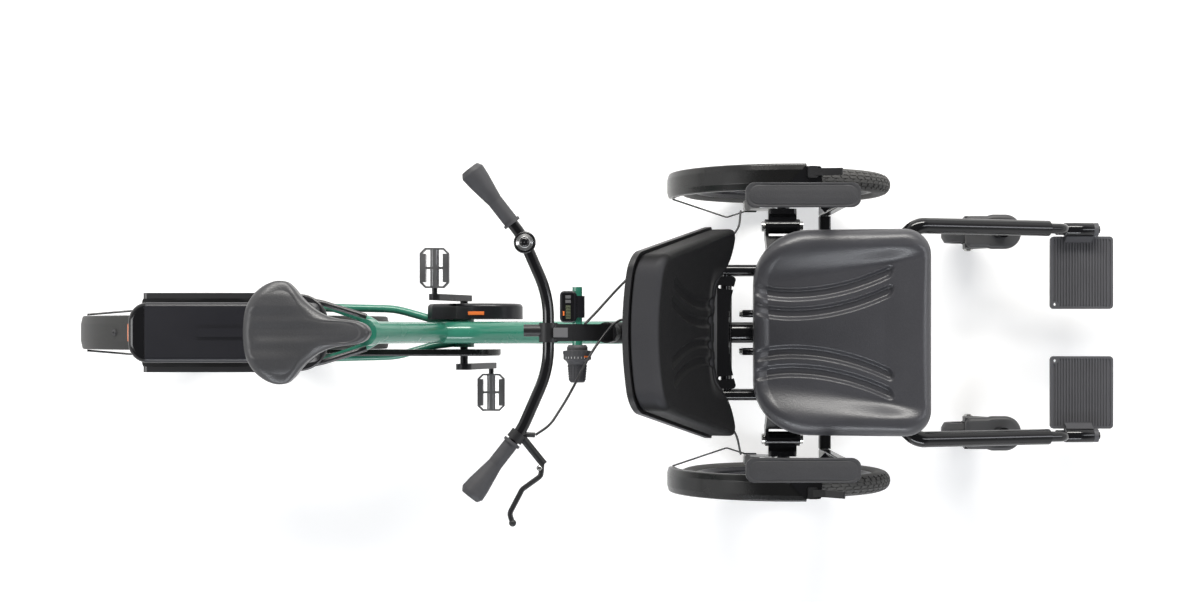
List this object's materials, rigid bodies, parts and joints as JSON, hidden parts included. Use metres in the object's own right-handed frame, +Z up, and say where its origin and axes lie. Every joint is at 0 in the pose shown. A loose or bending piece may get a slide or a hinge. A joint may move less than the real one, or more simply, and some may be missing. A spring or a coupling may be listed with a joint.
{
  "type": "wheelchair bicycle",
  "caption": "Wheelchair with two large front wheels, joined by a steering head to the rear half of a pedal bicycle with a motor, carrier and battery.",
  "frame": {"origin": "on the floor under the middle of the whole vehicle's box", "axes": "+X forward, from the rider to the footplates; +Y to the rider's left; +Z up"},
  "size_m": [2.43, 0.75, 1.0974],
  "materials": {
    "frame_black": "gloss black powder coat",
    "frame_green": "gloss emerald green paint",
    "fender_black": "satin black moulding",
    "battery_black": "black moulding with a soft gloss",
    "carrier_black": "black powder coat",
    "moulded_black": "fine grained black moulding",
    "seat_skin": "grained black moulded skin",
    "pad_skin": "dark grey grained skin",
    "saddle_skin": "black moulded skin",
    "gaiter_rubber": "matt black rubber",
    "grip_rubber": "dark grey rubber",
    "tyre_rubber": "matt black with block tread",
    "castor_rubber": "grey rubber tread",
    "rim_metal": "black anodised",
    "disc_steel": "brushed",
    "bolt_steel": "polished",
    "wire_steel": "black coated wire",
    "cast_silver": "cast and tumbled",
    "post_metal": "black anodised",
    "crank_metal": "black anodised",
    "pedal_metal": "silver cages and grips",
    "bell_metal": "silver ring round a black dome",
    "fork_grey": "dark grey glass-filled moulding",
    "plate_grey": "dark grey ribbed moulding",
    "cable_black": "smooth black cable sleeve"
  },
  "bodies": {
    "root": {"chair_frame": "frame_black", "wheel_arms": "frame_black", "pivot_bolts": "bolt_steel", "brake_calipers": "cast_silver", "front_fenders": "fender_black", "fender_stays": "wire_steel", "seat_pan": "frame_black", "seat_cushion": "seat_skin", "back_plate": "frame_black", "back_posts": "frame_black", "back_knobs": "moulded_black", "backrest_shell": "moulded_black", "backrest_cushion": "seat_skin", "armrest_posts": "frame_black", "armrest_pads": "pad_skin", "parking_brakes": "moulded_black", "leg_hanger_left": "frame_black", "leg_hanger_right": "frame_black", "steerer": "frame_black", "gaiter": "gaiter_rubber", "stem": "moulded_black", "handlebar": "frame_black", "grips": "grip_rubber", "bell": "bell_metal", "brake_lever": "moulded_black", "brake_cable_right": "cable_black", "brake_cable_left": "cable_black"},
    "bicycle": {"main_frame": "frame_green", "rear_stays": "frame_green", "seat_post": "post_metal", "saddle": "saddle_skin", "rear_mudguard": "fender_black", "mudguard_stays": "wire_steel", "carrier": "carrier_black", "battery": "battery_black", "motor_cover": "battery_black", "chain_case": "fender_black", "display": "battery_black", "shifter": "grip_rubber"},
    "front_wheel_left": {"front_tyre_left": "tyre_rubber", "front_wheel_left": "rim_metal", "brake_disc_left": "disc_steel"},
    "front_wheel_right": {"front_tyre_right": "tyre_rubber", "front_wheel_right": "rim_metal", "brake_disc_right": "disc_steel"},
    "rear_wheel": {"rear_tyre": "tyre_rubber", "rear_wheel": "rim_metal"},
    "crank": {"crank_set": "crank_metal"},
    "pedal_left": {"pedal_left": "pedal_metal"},
    "pedal_right": {"pedal_right": "pedal_metal"},
    "castor_left": {"castor_fork_left": "fork_grey"},
    "castor_right": {"castor_fork_right": "fork_grey"},
    "castor_wheel_left": {"castor_wheel_left": "castor_rubber"},
    "castor_wheel_right": {"castor_wheel_right": "castor_rubber"},
    "footplate_left": {"footplate_left": "plate_grey"},
    "footplate_right": {"footplate_right": "plate_grey"}
  },
  "joints": [
    {"name": "steering", "type": "hinge", "parent": "root", "child": "bicycle", "pos_m": [0.077, 0, 0.6], "axis": [-0.2588, 0, 0.9659], "range_deg": [-40, 40]},
    {"name": "front_wheel_left_spin", "type": "hinge", "parent": "root", "child": "front_wheel_left", "pos_m": [0.411, 0.346, 0.25], "axis": [0, 1, 0], "continuous": true},
    {"name": "front_wheel_right_spin", "type": "hinge", "parent": "root", "child": "front_wheel_right", "pos_m": [0.411, -0.346, 0.25], "axis": [0, 1, 0], "continuous": true},
    {"name": "rear_wheel_spin", "type": "hinge", "parent": "bicycle", "child": "rear_wheel", "pos_m": [-0.865, 0, 0.326], "axis": [0, 1, 0], "continuous": true},
    {"name": "crank_turn", "type": "hinge", "parent": "bicycle", "child": "crank", "pos_m": [-0.341, 0, 0.3], "axis": [0, 1, 0], "continuous": true},
    {"name": "pedal_left_turn", "type": "hinge", "parent": "crank", "child": "pedal_left", "pos_m": [-0.39466, 0.145, 0.46131], "axis": [0, 1, 0], "continuous": true},
    {"name": "pedal_right_turn", "type": "hinge", "parent": "crank", "child": "pedal_right", "pos_m": [-0.28734, -0.145, 0.13869], "axis": [0, 1, 0], "continuous": true},
    {"name": "castor_left_swivel", "type": "hinge", "parent": "root", "child": "castor_left", "pos_m": [0.937, 0.243, 0.182], "axis": [0, 0, 1], "continuous": true},
    {"name": "castor_wheel_left_spin", "type": "hinge", "parent": "castor_left", "child": "castor_wheel_left", "pos_m": [0.881, 0.243, 0.09], "axis": [0, 1, 0], "continuous": true},
    {"name": "footplate_left_flip", "type": "hinge", "parent": "root", "child": "footplate_left", "pos_m": [1.136, 0.247, 0.19], "axis": [-1, 0, 0], "range_deg": [0, 90]},
    {"name": "castor_right_swivel", "type": "hinge", "parent": "root", "child": "castor_right", "pos_m": [0.937, -0.243, 0.182], "axis": [0, 0, 1], "continuous": true},
    {"name": "castor_wheel_right_spin", "type": "hinge", "parent": "castor_right", "child": "castor_wheel_right", "pos_m": [0.881, -0.243, 0.09], "axis": [0, 1, 0], "continuous": true},
    {"name": "footplate_right_flip", "type": "hinge", "parent": "root", "child": "footplate_right", "pos_m": [1.136, -0.247, 0.19], "axis": [1, 0, 0], "range_deg": [0, 90]}
  ]
}
